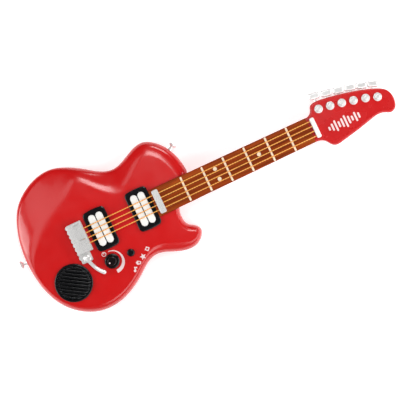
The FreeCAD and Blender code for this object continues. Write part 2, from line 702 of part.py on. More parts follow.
def volume_knob():
    skirt = rod(KNOB_XY, KNOB_SKIRT_R, KNOB_BASE_Z, KNOB_SKIRT_TOP_Z)
    skirt = skirt.makeFillet(2.6, edges_at(skirt, KNOB_SKIRT_TOP_Z))
    cap = Part.makeCone(KNOB_CAP_R + 0.8, KNOB_CAP_R, KNOB_TOP_Z - KNOB_BASE_Z,
                        Vector(KNOB_XY[0], KNOB_XY[1], KNOB_BASE_Z))
    cap = cap.makeFillet(1.4, edges_at(cap, KNOB_TOP_Z))
    knob = join([skirt, cap])
    return knob.cut([rod(KNOB_XY, POT_SHAFT_R, KNOB_BASE_Z - 1, 51),
                     rod(KNOB_XY, POT_BUSH_R + 0.3, KNOB_BASE_Z - 1, 44.6)])


def knob_pointer_dot():
    return rod((KNOB_XY[0] - 5.0, KNOB_XY[1] - 1.5), 1.2, KNOB_TOP_Z, KNOB_TOP_Z + PRINT_H)


def volume_pot_shaft():
    return rod(KNOB_XY, POT_SHAFT_R, 33, 51)


def volume_pot():
    can = rod(KNOB_XY, POT_BODY_R, 30.5, 38.6)
    bush = rod(KNOB_XY, POT_BUSH_R, 38.6, 44.0)
    bore = rod(KNOB_XY, POT_SHAFT_R + 0.06, 32.9, 60)
    return join([can, bush]).cut(bore)


def mode_button():
    """Domed key with a retaining flange under the shell."""
    stem = rod(BUTTON_XY, BUTTON_R, 37.5, BUTTON_TOP_Z)
    stem = stem.makeFillet(2.2, edges_at(stem, BUTTON_TOP_Z))
    flange = rod(BUTTON_XY, BUTTON_R + 2, 36.6, 38.6)
    return join([stem, flange])


def mode_switch():
    x, y = BUTTON_XY
    case = box((x - 4, x + 4), (y - 4, y + 4), (BOARD_Z[1], 32.6))
    return join([case, rod(BUTTON_XY, 1.8, 32.6, 34.6)])


def speaker_grille():
    ring_body = rod(SPEAKER_XY, GRILLE_R, CROWN_Z, GRILLE_TOP_Z)
    ring_body = ring_body.makeFillet(1.6, edges_at(ring_body, GRILLE_TOP_Z))
    spigot = rod(SPEAKER_XY, SPEAKER_HOLE_R - 0.3, CROWN_Z - SHELL_WALL, CROWN_Z + 1)
    frame = join([ring_body, spigot]).cut(rod(SPEAKER_XY, GRILLE_INNER_R, 30, 60))
    disc = rod(SPEAKER_XY, GRILLE_INNER_R + 1, CROWN_Z - SHELL_WALL, GRILLE_TOP_Z)
    centre = Vector(SPEAKER_XY[0], SPEAKER_XY[1], 0)
    bars = []
    for k in range(LOUVRE_COUNT):
        offset = (k - (LOUVRE_COUNT - 1) / 2) * LOUVRE_PITCH
        low = CROWN_Z - SHELL_WALL + 0.5
        bar = box((-40, 40), (offset - LOUVRE_W / 2, offset + LOUVRE_W / 2), (low, GRILLE_TOP_Z - 0.9))
        bar = bar.makeFillet(1.7, [e for e in edges_at(bar, GRILLE_TOP_Z - 0.9) if e.Length > 50])
        bar.rotate(Vector(0, 0, 0), UP, LOUVRE_LEAN_DEG)
        bar.translate(centre)
        bars.append(bar.common(disc))
    return join([frame] + bars)


def speaker_frame():
    """Pressed basket: a flat rim, a sloping side and a rear cup round the magnet."""
    x, y = SPEAKER_XY
    rim = rod(SPEAKER_XY, 29.0, 36.6, 38.2).cut(rod(SPEAKER_XY, 25.6, 30, 40))
    side = Part.makeCone(17.5, 27.0, 8.6, Vector(x, y, 28.0))
    inner = Part.makeCone(16.2, 25.7, 8.7, Vector(x, y, 28.0))
    floor = rod(SPEAKER_XY, 17.5, 26.8, 28.2).cut(rod(SPEAKER_XY, 6.2, 20, 40))
    return join([rim, side.cut(inner), floor])


def speaker_cone():
    x, y = SPEAKER_XY
    outer = Part.makeCone(7.0, 24.6, 7.0, Vector(x, y, 30.0))
    inner = Part.makeCone(6.2, 24.0, 7.1, Vector(x, y, 30.6))
    dome = Part.makeSphere(8.0, Vector(x, y, 28.3)).common(rod(SPEAKER_XY, 7.8, 31.0, 40))
    return join([outer.cut(inner), dome])


def speaker_magnet():
    return rod(SPEAKER_XY, 15.0, 18.8, 26.8)


def main_board():
    board = box((16, 80), (-86, -38), BOARD_Z)
    return board.cut([rod(xy, SCREW_HOLE_R, 20, 30) for xy in BOARD_POST_XY])


def board_components():
    """Sound chip, amplifier, two capacitors, crystal and the lead connector."""
    top = BOARD_Z[1]
    parts = [box((48, 58), (-82, -72), (top, 27.6))]
    parts.append(box((64, 70), (-80, -74), (top, 27.2)))
    parts.append(rod((76, -70), 3.1, top, 33))
    parts.append(rod((76, -48), 3.1, top, 33))
    parts.append(box((50, 58), (-50, -46), (top, 29)))
    parts.append(box((18, 22), (-76, -61), (top, 31.6)))
    return parts


def strum_sensor_board():
    """Piezo strip board under the string ends."""
    board = box((-8, 12), (-24, 24), (36.6, 38.2))
    discs = [rod((2, y), 4.5, 35.8, 36.6) for y in STRING_Y]
    return join([board] + discs)


def battery_box():
    x, y = BATTERY_BOX_X, BATTERY_BOX_Y
    tray = box(x, y, (SHELL_WALL, BATTERY_BOX_TOP_Z))
    room = (SHELL_WALL - 1, BATTERY_BOX_TOP_Z - 1.5)
    cells = box((x[0] + 2, CELL_ROOM_END_X), (y[0] + 2, y[1] - 2), room)
    end = box((CELL_ROOM_END_X + 2, x[1] - 2), (y[0] + 2, y[1] - 2), room)
    post = rod(DOOR_SCREW_XY, 4.0, SHELL_WALL, BATTERY_BOX_TOP_Z).cut(rod(DOOR_SCREW_XY, SCREW_HOLE_R, 0, 12))
    return join([tray.cut([cells, end]), post])


def cell_rows():
    middle = (BATTERY_BOX_Y[0] + BATTERY_BOX_Y[1]) / 2
    return [middle - CELL_PITCH, middle, middle + CELL_PITCH]


def aa_cells():
    middle = (BATTERY_BOX_X[0] + 2 + CELL_ROOM_END_X) / 2
    cells = []
    for i, y in enumerate(cell_rows()):
        out = 1 if i % 2 else -1
        start = Vector(middle - out * CELL_LENGTH / 2, y, SHELL_WALL + 0.8 + CELL_R)
        body = Part.makeCylinder(CELL_R, CELL_LENGTH - 1.2, start, Vector(out, 0, 0))
        cap = Part.makeCylinder(2.7, CELL_LENGTH, start, Vector(out, 0, 0))
        cells.append(join([body, cap]))
    return cells


def battery_contacts():
    """A plate at one end and a coil contact at the other end of each cell."""
    inner = (BATTERY_BOX_X[0] + 2, CELL_ROOM_END_X)
    middle = (inner[0] + inner[1]) / 2
    z = SHELL_WALL + 0.8 + CELL_R
    contacts = []
    for i, y in enumerate(cell_rows()):
        out = 1 if i % 2 else -1
        near = inner[0] if out > 0 else inner[1]
        far = inner[1] if out > 0 else inner[0]
        for wall, inward in ((near, out), (far, -out)):
            span = sorted((wall, wall + inward * 0.5))
            contacts.append(box(span, (y - 5, y + 5), (z - 5, z + 5)))
        start = Vector(near + out * 0.5, y, z)
        room = abs(middle - out * CELL_LENGTH / 2 - start.x)
        contacts.append(Part.makeCone(4.5, 2.5, room - 0.05, start, Vector(out, 0, 0)))
    return contacts


def battery_door():
    """Flush cover that tilts about its rounded end and is held by a screw at the other."""
    x = (BATTERY_BOX_X[0] + 3 + DOOR_GAP, BATTERY_BOX_X[1] - 3 - DOOR_GAP)
    y = (BATTERY_BOX_Y[0] + 3 + DOOR_GAP, BATTERY_BOX_Y[1] - 3 - DOOR_GAP)
    end_r = DOOR_THICK / 2
    end = Part.makeCylinder(end_r, y[1] - y[0], Vector(x[0] + end_r, y[0], DOOR_PROUD_Z + end_r),
                            Vector(0, 1, 0))
    plate = join([box((x[0] + end_r, x[1]), y, (DOOR_PROUD_Z, DOOR_PROUD_Z + DOOR_THICK)), end])
    return plate.cut([rod(DOOR_SCREW_XY, SCREW_HEAD_R, -1, DOOR_PROUD_Z + 1.4),
                      rod(DOOR_SCREW_XY, SCREW_HOLE_R, -1, 5)])


def battery_door_screw():
    """Captive screw, backed out so that its end is level with the inside of the door."""
    head = rod(DOOR_SCREW_XY, SCREW_HEAD_R - 0.2, DOOR_PROUD_Z + 0.2, DOOR_PROUD_Z + 1.4)
    return join([head, rod(DOOR_SCREW_XY, SCREW_SHANK_R, DOOR_PROUD_Z + 1.4, DOOR_PROUD_Z + DOOR_THICK)])


def strap_button(base, out):
    """Mushroom button: a waisted stem, a flared cap and its own screw."""
    stem = Part.makeCone(STRAP_STEM_R + 1.2, STRAP_STEM_R - 0.6, 5, base, out)
    waist = Part.makeCylinder(STRAP_STEM_R - 0.6, 2, base + out * 5, out)
    flare = Part.makeCone(STRAP_STEM_R - 0.6, STRAP_CAP_R, 2.6, base + out * 7, out)
    cap = Part.makeCylinder(STRAP_CAP_R, STRAP_LENGTH - 9.6, base + out * 9.6, out)
    screw = Part.makeCylinder(SCREW_SHANK_R, 14, base - out * 12, out)
    head = join([stem, waist, flare, cap])
    clip = Part.makeCylinder(STRAP_CAP_R + 1, STRAP_LENGTH + 1, base + out * 0.2, out)
    return join([head.common(clip), screw])


def tuner_posts():
    """Six posts: a washer with a rounded rim, a domed cap on it and a peg into the headstock."""
    posts = []
    for xy in TUNER_POST_XY:
        washer_top = CROWN_Z + TUNER_FLANGE_H
        washer = rod(xy, TUNER_POST_R, CROWN_Z, washer_top)
        washer = washer.makeFillet(1.4, edges_at(washer, washer_top))
        cap = rod(xy, TUNER_CAP_R, CROWN_Z, CROWN_Z + TUNER_CAP_H)
        cap = cap.makeFillet(1.8, edges_at(cap, CROWN_Z + TUNER_CAP_H))
        posts.append(join([washer, cap, rod(xy, 2.0, CROWN_Z - HEADSTOCK_WALL, CROWN_Z + 1)]))
    return posts


def tuning_peg(centre, out):
    """Knob with rounded edges, on a shaft with a collar that holds it inside the headstock."""
    knob = Part.makeBox(PEG_LENGTH, PEG_DEPTH, PEG_THICK,
                        Vector(-PEG_LENGTH / 2, -PEG_DEPTH / 2, -PEG_THICK / 2))
    knob = knob.makeFillet(3.4, knob.Edges)
    inward = Vector(0, 1, 0)
    shaft = Part.makeCylinder(PEG_SHAFT_R, PEG_REACH, Vector(0, -PEG_REACH, 0), inward)
    collar = Part.makeCylinder(PEG_COLLAR_R, PEG_COLLAR_H, Vector(0, -PEG_REACH, 0), inward)
    peg = join([knob, shaft, collar])
    lean = math.degrees(math.atan2(out.x, out.y))
    peg.rotate(Vector(0, 0, 0), UP, -lean)
    peg.translate(centre)
    return peg


def headstock_badge():
    """A row of upright bars like a sound meter, as raised trim."""
    heights = [7.0, 13.0, 20.0, 11.0, 16.0, 22.0, 14.0, 9.0, 17.0, 10.0]
    bars = []
    for i, height in enumerate(heights):
        x = 472.0 + i * 6.2
        bars.append(rounded_block((x, -12.0), (1.7, height / 2), 1.6, CROWN_Z, CROWN_Z + 0.6))
    return bars


def crescent():
    """The volume wedge: it widens as it goes round the knob."""
    x, y = 35.0, -61.0
    outer = rod((x, y), 20.5, CROWN_Z, CROWN_Z + PRINT_H)
    inner = rod((x, y + 2.5), 16.8, CROWN_Z - 1, CROWN_Z + 2)
    half = box((x, x + 40), (y - 40, y + 40), (CROWN_Z - 1, CROWN_Z + 2))
    return outer.common(half).cut(inner)


def control_prints():
    top = CROWN_Z + PRINT_H
    marks = [crescent()]
    ring_xy = (26.5, -42.3)
    ring_mark = rod(ring_xy, 4.1, CROWN_Z, top).cut(rod(ring_xy, 2.8, CROWN_Z - 1, top + 1))
    marks.append(join([ring_mark, box((25.8, 27.2), (-42.3, -38.8), (CROWN_Z, top))]))
    note = [rod((63.2, -91.0), 2.3, CROWN_Z, top), box((64.0, 65.5), (-91.0, -84.2), (CROWN_Z, top))]
    note.append(prism([(64.0, -84.2), (69.0, -86.0), (69.0, -88.6), (64.0, -86.8)], CROWN_Z, top))
    marks.append(join(note))
    drum = prism([(69.8, -78.6), (74.2, -76.8), (79.6, -80.4), (77.4, -84.6), (71.4, -83.6)], CROWN_Z, top)
    marks.append(drum.cut(rod((75.6, -81.0), 1.5, CROWN_Z - 1, top + 1)))
    star = []
    for k in range(10):
        reach = 6.0 if k % 2 == 0 else 2.7
        turn = math.radians(90 + 36 * k)
        star.append((86.0 + reach * math.cos(turn), -74.5 + reach * math.sin(turn)))
    marks.append(prism(star, CROWN_Z, top))
    diamond = [(98.4, -60.8), (103.2, -65.4), (98.4, -70.0), (93.6, -65.4)]
    hole = [(98.4, -63.2), (100.7, -65.4), (98.4, -67.6), (96.1, -65.4)]
    marks.append(prism(diamond, CROWN_Z, top).cut(prism(hole, CROWN_Z - 1, top + 1)))
    return marks


def screw(xy, head_z, top, head_r):
    head = rod(xy, head_r, head_z, head_z + SCREW_HEAD_H)
    slot = join([box((xy[0] - 2, xy[0] + 2), (xy[1] - 0.4, xy[1] + 0.4), (head_z - 1, head_z + 1)),
                 box((xy[0] - 0.4, xy[0] + 0.4), (xy[1] - 2, xy[1] + 2), (head_z - 1, head_z + 1))])
    return join([head.cut(slot), rod(xy, SCREW_SHANK_R, head_z + SCREW_HEAD_H, top)])


def lead(points, radius):
    """A wire of straight runs joined by tangent arcs."""
    route = [Vector(*p) for p in points]
    edges = []
    start = route[0]
    for before, here, after in zip(route, route[1:], route[2:]):
        back = (before - here).normalize()
        ahead = (after - here).normalize()
        turn = math.pi - back.getAngle(ahead)
        run = 0.45 * min((before - here).Length, (after - here).Length)
        bend_r = run / math.tan(turn / 2)
        a = here + back * run
        b = here + ahead * run
        centre_way = (back + ahead).normalize()
        middle = here + centre_way * (bend_r / math.cos(turn / 2) - bend_r)
        edges.append(Part.makeLine(start, a))
        edges.append(Part.Arc(a, middle, b).toShape())
        start = b
    edges.append(Part.makeLine(start, route[-1]))
    path = Part.Wire(edges)
    profile = Part.Wire([Part.makeCircle(radius, route[0], (route[1] - route[0]))])
    return path.makePipeShell([profile], True, True)


def lead_pair(points, step):
    """Two wires side by side, each in its own place along the same route."""
    beside = [tuple(a + b for a, b in zip(point, step)) for point in points]
    return [lead(points, LEAD_R), lead(beside, LEAD_R)]


save("body_front_shell", body_front_shell())
save("body_back_shell", body_back_shell())
save("neck_back_shell", neck_back_shell())
save("headstock_front_shell", headstock_front_shell())
save("fretboard", fretboard())
save("frets", frets())
save("position_dots", position_dots())
save("nut", crossbar(NUT_X, NUT_HALF, CROWN_Z, NUT_TOP_Z, 2.5))
save("string_retainer", crossbar(RETAINER_X, RETAINER_HALF, FRETBOARD_TOP_Z, RETAINER_TOP_Z, 3.0))
strings()
for place, pickup_x in PICKUP_X.items():
    save(place + "_pickup_bezel", pickup_bezel(pickup_x))
    save(place + "_pickup_bars", pickup_bars(pickup_x))
save("bridge_base", bridge_base())
save("bridge_saddle_block", bridge_saddle_block())
save("whammy_collar", whammy_collar())
save("whammy_bar", whammy_bar())
save("whammy_return_spring", whammy_return_spring())
save("whammy_switch", whammy_switch())
save("volume_knob", volume_knob())
save("knob_pointer_dot", knob_pointer_dot())
save("volume_pot", volume_pot())
save("volume_pot_shaft", volume_pot_shaft())
save("mode_button", mode_button())
save("mode_switch", mode_switch())
save("speaker_grille", speaker_grille())
save("speaker_frame", speaker_frame())
save("speaker_cone", speaker_cone())
save("speaker_magnet", speaker_magnet())
save("main_board", main_board())
save("board_components", board_components())
save("strum_sensor_board", strum_sensor_board())
save("battery_box", battery_box())
save("aa_cells", aa_cells())
save("battery_contacts", battery_contacts())
save("battery_door", battery_door())
save("battery_door_screw", battery_door_screw())
for place, (base, out) in zip(("tail", "horn"), strap_axes()):
    save("strap_button_" + place, strap_button(base, out))
save("tuner_posts", tuner_posts())
for number, (centre, out) in enumerate(peg_axes()):
    save("tuning_peg_" + str(number + 1), tuning_peg(centre, out))
save("headstock_badge", headstock_badge())
save("control_prints", control_prints())
save("body_screws", [screw(xy, SCREW_SINK, BODY_SCREW_TOP, SCREW_HEAD_R) for xy in BODY_SCREW_XY])
save("neck_screws", [screw(xy, SCREW_SINK, NECK_SCREW_TOP, SCREW_HEAD_R) for xy in NECK_SCREW_XY])
save("headstock_screws", [screw(xy, HEADSTOCK_BACK_Z, HEADSTOCK_SCREW_TOP, SCREW_HEAD_R - 0.6)
                          for xy in HEADSTOCK_SCREW_XY])
save("speaker_leads", lead_pair(SPEAKER_LEAD, (0, -3.0, 0)))
save("battery_leads", lead_pair(BATTERY_LEAD, (0, 0, 2.4)))
save("sensor_leads", lead_pair(SENSOR_LEAD, (0, 3.0, 0)))
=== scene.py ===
import bpy
import json
import math
from mathutils import Matrix, Vector


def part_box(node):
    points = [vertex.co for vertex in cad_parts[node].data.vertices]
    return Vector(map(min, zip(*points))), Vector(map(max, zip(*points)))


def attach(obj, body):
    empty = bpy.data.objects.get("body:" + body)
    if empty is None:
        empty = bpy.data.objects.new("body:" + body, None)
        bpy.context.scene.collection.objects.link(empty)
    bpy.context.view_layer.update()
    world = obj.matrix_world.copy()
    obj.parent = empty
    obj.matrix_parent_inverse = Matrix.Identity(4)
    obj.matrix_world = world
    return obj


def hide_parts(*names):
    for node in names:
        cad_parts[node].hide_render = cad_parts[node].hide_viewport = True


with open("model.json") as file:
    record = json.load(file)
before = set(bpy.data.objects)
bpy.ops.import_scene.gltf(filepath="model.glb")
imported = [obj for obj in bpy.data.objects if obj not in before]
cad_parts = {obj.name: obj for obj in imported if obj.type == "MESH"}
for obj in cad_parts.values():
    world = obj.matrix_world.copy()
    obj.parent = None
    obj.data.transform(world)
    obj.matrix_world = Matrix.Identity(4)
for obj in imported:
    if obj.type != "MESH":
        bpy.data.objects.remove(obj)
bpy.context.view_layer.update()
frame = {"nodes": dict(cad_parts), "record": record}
NODES = frame["nodes"]
MM = 0.001
ROOT = "guitar"


# ---------------------------------------------------------------- camera, light and floor

LEAN = math.radians(25.22)      # how far the neck rises across the picture
VIEW_WIDTH = 0.6937             # metres across the picture, at half the height of the body's edge
VIEW_CENTRE = Vector((0.2168, -0.0280, 0.032))
VIEW_DISTANCE = 3.0
SENSOR = 36.0

# the directions to the right and up in the picture, seen on the floor
RIGHT = Vector((math.cos(LEAN), -math.sin(LEAN), 0))
AHEAD = Vector((math.sin(LEAN), math.cos(LEAN), 0))


def make_camera():
    """A camera straight above the guitar, turned so that the neck rises to the right."""
    data = bpy.data.cameras.new("camera")
    data.sensor_width = SENSOR
    data.lens = SENSOR * VIEW_DISTANCE / VIEW_WIDTH
    camera = bpy.data.objects.new("camera", data)
    bpy.context.scene.collection.objects.link(camera)
    turn = Matrix.Rotation(-LEAN, 4, "Z")
    camera.matrix_world = Matrix.Translation(VIEW_CENTRE + Vector((0, 0, VIEW_DISTANCE))) @ turn
    bpy.context.scene.camera = camera


BODY_MIDDLE = Vector((0.10, 0.01, 0.03))     # every softbox faces this point
SKY_STRENGTH = 0.09

# name, degrees round from the picture's right, degrees down from overhead, metres away,
# size in metres, radiance
SOFTBOXES = [
    ("key", 318, 44, 1.5, (1.1, 1.1), 2.5),
    ("fill", 200, 68, 1.4, (0.9, 0.8), 3.6),
    ("right", 4, 66, 1.0, (0.7, 0.6), 3.0),
    ("low", 275, 66, 1.3, (1.8, 1.0), 0.2),
    ("left", 178, 56, 1.3, (0.36, 0.54), 4.8),
    ("right_top", 68, 64, 1.4, (0.5, 0.26), 9.0),
    ("crease", 81, 20, 1.8, (0.38, 0.64), 8.5),
    ("contour", 171, 25, 1.8, (0.90, 0.50), 1.3),
]


def softbox(name, round_deg, down_deg, distance, size, radiance):
    """A rectangular area light that faces the middle of the body."""
    data = bpy.data.lights.new(name, "AREA")
    data.shape = "RECTANGLE"
    data.size, data.size_y = size
    data.energy = radiance * math.pi * size[0] * size[1]
    light = bpy.data.objects.new(name, data)
    bpy.context.scene.collection.objects.link(light)
    turn, down = math.radians(round_deg), math.radians(down_deg)
    outward = RIGHT * math.cos(turn) + AHEAD * math.sin(turn)
    way = outward * math.sin(down) + Vector((0, 0, math.cos(down)))
    side = Vector((0, 0, 1)).cross(outward)
    frame_axes = Matrix((side, side.cross(-way), way)).transposed()
    light.matrix_world = Matrix.Translation(BODY_MIDDLE + way * distance) @ frame_axes.to_4x4()


def make_lights():
    for light in SOFTBOXES:
        softbox(*light)
    world = bpy.data.worlds.new("studio")
    bpy.context.scene.world = world
    world.use_nodes = True
    background = world.node_tree.nodes["Background"]
    background.inputs["Color"].default_value = (1.0, 1.0, 1.0, 1)
    background.inputs["Strength"].default_value = SKY_STRENGTH


FLOOR_Z = -0.3 * MM     # just clear of the flat back, so that the two never share a plane
FLOOR_HALF = 6.0
FLOOR_GLOW = 0.45


def make_floor():
    mesh = bpy.data.meshes.new("floor")
    signs = [(-1, -1), (1, -1), (1, 1), (-1, 1)]
    corners = [(x * FLOOR_HALF, y * FLOOR_HALF, FLOOR_Z) for x, y in signs]
    mesh.from_pydata(corners, [], [(0, 1, 2, 3)])
    floor = bpy.data.objects.new("floor", mesh)
    bpy.context.scene.collection.objects.link(floor)
    mesh.materials.append(plain_floor())


def plain_floor():
    mat, tree, shader = new_material("floor_white")
    grain = noise(tree, 3.0, 4.0)
    tint = ramp(tree, grain, [(0.3, (0.90, 0.90, 0.90)), (0.7, (0.93, 0.93, 0.93))])
    tree.links.new(tint, shader.inputs["Base Color"])
    shader.inputs["Roughness"].default_value = 0.9
    shader.inputs["Emission Color"].default_value = (1, 1, 1, 1)
    shader.inputs["Emission Strength"].default_value = FLOOR_GLOW
    return mat


# ---------------------------------------------------------------- material helpers

def new_material(name):
    mat = bpy.data.materials.new(name)
    mat.use_nodes = True
    tree = mat.node_tree
    return mat, tree, tree.nodes["Principled BSDF"]


NOISE_LOW, NOISE_HIGH = 0.25, 0.75      # the range that most of a noise's values fall in
WORN_FROM, WORN_TO = 0.52, 0.60         # how sharp an edge is where rubbing starts and where it is full

# texture scales, in features per metre
PLASTIC_FLOW = 9.0
PLASTIC_CLOUD = 40.0
METAL_CLOUD = 60.0
METAL_BRUSHING = 300.0
METAL_GRAIN = 700.0
FLAKE_SCALE = 2600.0
WOOD_STREAKS = 30.0
WOOD_PORES = 240.0

# how high the bumps of each surface stand, and how strongly bare metal shows them
PLASTIC_SKIN = 0.4 * MM
METAL_SKIN = 0.2 * MM
WOOD_SKIN = 0.3 * MM
METAL_RELIEF = 0.02


def place(tree, stretch=(1, 1, 1)):
    """Object coordinates in metres, stretched by a factor on each axis."""
    coords = tree.nodes.new("ShaderNodeTexCoord")
    mapping = tree.nodes.new("ShaderNodeMapping")
    mapping.inputs["Scale"].default_value = stretch
    tree.links.new(coords.outputs["Object"], mapping.inputs["Vector"])
    return mapping.outputs["Vector"]


def noise(tree, scale, detail, stretch=(1, 1, 1), rough=0.5):
    node = tree.nodes.new("ShaderNodeTexNoise")
    node.inputs["Scale"].default_value = scale
    node.inputs["Detail"].default_value = detail
    node.inputs["Roughness"].default_value = rough
    tree.links.new(place(tree, stretch), node.inputs["Vector"])
    return node.outputs["Fac"]


def ramp(tree, value, stops):
    """A value turned to a colour: stops are pairs of a value and the colour there."""
    node = tree.nodes.new("ShaderNodeValToRGB")
    band = node.color_ramp
    while len(band.elements) < len(stops):
        band.elements.new(0.5)
    for element, (at, colour) in zip(band.elements, stops):
        element.position = at
        element.color = (*colour, 1)
    tree.links.new(value, node.inputs["Fac"])
    return node.outputs["Color"]


def spread(tree, value, low, high):
    """A noise's usual range, moved to low to high."""
    node = tree.nodes.new("ShaderNodeMapRange")
    node.inputs["From Min"].default_value = NOISE_LOW
    node.inputs["From Max"].default_value = NOISE_HIGH
    node.inputs["To Min"].default_value = low
    node.inputs["To Max"].default_value = high
    tree.links.new(value, node.inputs["Value"])
    return node.outputs["Result"]


def bump(tree, shader, value, strength, distance):
    node = tree.nodes.new("ShaderNodeBump")
    node.inputs["Strength"].default_value = strength
    node.inputs["Distance"].default_value = distance
    tree.links.new(value, node.inputs["Height"])
    tree.links.new(node.outputs["Normal"], shader.inputs["Normal"])


def shade(colour, factor):
    """A colour made lighter or darker by a factor."""
    return tuple(min(1.0, c * factor) for c in colour)


def worn(tree, colour_out, light, amount):
    """Edges that hands rub are a little lighter."""
    geometry = tree.nodes.new("ShaderNodeNewGeometry")
    edge = tree.nodes.new("ShaderNodeMapRange")
    edge.inputs["From Min"].default_value = WORN_FROM
    edge.inputs["From Max"].default_value = WORN_TO
    edge.inputs["To Max"].default_value = amount
    tree.links.new(geometry.outputs["Pointiness"], edge.inputs["Value"])
    mix = tree.nodes.new("ShaderNodeMix")
    mix.data_type = "RGBA"
    tree.links.new(edge.outputs["Result"], mix.inputs["Factor"])
    tree.links.new(colour_out, mix.inputs["A"])
    mix.inputs["B"].default_value = (*light, 1)
    return mix.outputs["Result"]


def plastic(name, colour, rough, coat=0.0, grain=900.0, depth=0.02, vary=0.06, wear=0.12,
            gloss=0.5, metallic=0.0):
    """Moulded plastic: faint flow marks in the colour, uneven gloss and a fine skin."""
    mat, tree, shader = new_material(name)
    flow = noise(tree, PLASTIC_FLOW, 4.0, (1, 2.2, 1))
    tint = ramp(tree, flow, [(0.3, shade(colour, 1 - vary)), (0.7, shade(colour, 1 + vary))])
    tree.links.new(worn(tree, tint, shade(colour, 1.25), wear), shader.inputs["Base Color"])
    cloud = noise(tree, PLASTIC_CLOUD, 5.0)
    tree.links.new(spread(tree, cloud, rough * 0.85, rough * 1.2), shader.inputs["Roughness"])
    bump(tree, shader, noise(tree, grain, 2.0), depth, PLASTIC_SKIN)
    shader.inputs["Specular IOR Level"].default_value = gloss
    shader.inputs["Metallic"].default_value = metallic
    shader.inputs["Coat Weight"].default_value = coat
    shader.inputs["Coat Roughness"].default_value = 0.08
    return mat


def metal(name, colour, rough, streak=(1, 1, 1)):
    """Bare metal, its gloss drawn out into fine streaks along the axes of a lower streak factor."""
    mat, tree, shader = new_material(name)
    cloud = noise(tree, METAL_CLOUD, 4.0, streak)
    tint = ramp(tree, cloud, [(0.3, shade(colour, 0.92)), (0.7, shade(colour, 1.06))])
    tree.links.new(tint, shader.inputs["Base Color"])
    brushing = noise(tree, METAL_BRUSHING, 3.0, streak)
    tree.links.new(spread(tree, brushing, rough * 0.7, rough * 1.4), shader.inputs["Roughness"])
    shader.inputs["Metallic"].default_value = 1.0
    bump(tree, shader, noise(tree, METAL_GRAIN, 3.0, streak), METAL_RELIEF, METAL_SKIN)
    return mat


def sparkle_silver(name, colour, flake, metallic, rough, relief):
    """Silver plastic with metal flake in it; flake is how far the flakes differ in brightness."""
    mat, tree, shader = new_material(name)
    flakes = tree.nodes.new("ShaderNodeTexVoronoi")
    flakes.inputs["Scale"].default_value = FLAKE_SCALE
    tree.links.new(place(tree), flakes.inputs["Vector"])
    split = tree.nodes.new("ShaderNodeSeparateColor")
    tree.links.new(flakes.outputs["Color"], split.inputs["Color"])
    stops = [(0.0, shade(colour, 1 - flake)), (0.6, colour), (1.0, shade(colour, 1 + flake))]
    tint = ramp(tree, split.outputs["Red"], stops)
    tree.links.new(tint, shader.inputs["Base Color"])
    tree.links.new(spread(tree, split.outputs["Green"], rough * 0.8, rough * 1.3), shader.inputs["Roughness"])
    shader.inputs["Metallic"].default_value = metallic
    shader.inputs["Coat Weight"].default_value = 0.3
    shader.inputs["Coat Roughness"].default_value = 0.12
    bump(tree, shader, split.outputs["Blue"], relief, METAL_SKIN)
    return mat


def rosewood(name):
    """Printed wood: long streaks and fine dark pores along the neck."""
    mat, tree, shader = new_material(name)
    streaks = noise(tree, WOOD_STREAKS, 6.0, (0.12, 2.4, 1.0), 0.62)
    browns = [(0.30, (0.20, 0.026, 0.002)), (0.50, (0.32, 0.048, 0.004)), (0.72, (0.46, 0.085, 0.008))]
    base = ramp(tree, streaks, browns)
    pores = noise(tree, WOOD_PORES, 3.0, (0.05, 2.2, 1.0), 0.7)
    dark = ramp(tree, pores, [(0.40, (0.30, 0.30, 0.30)), (0.50, (1, 1, 1))])
    mix = tree.nodes.new("ShaderNodeMix")
    mix.data_type = "RGBA"
    mix.blend_type = "MULTIPLY"
    mix.inputs["Factor"].default_value = 0.6
    tree.links.new(base, mix.inputs["A"])
    tree.links.new(dark, mix.inputs["B"])
    tree.links.new(mix.outputs["Result"], shader.inputs["Base Color"])
    tree.links.new(spread(tree, pores, 0.6, 0.46), shader.inputs["Roughness"])
    shader.inputs["Specular IOR Level"].default_value = 0.1
    bump(tree, shader, pores, 0.12, WOOD_SKIN)
    return mat


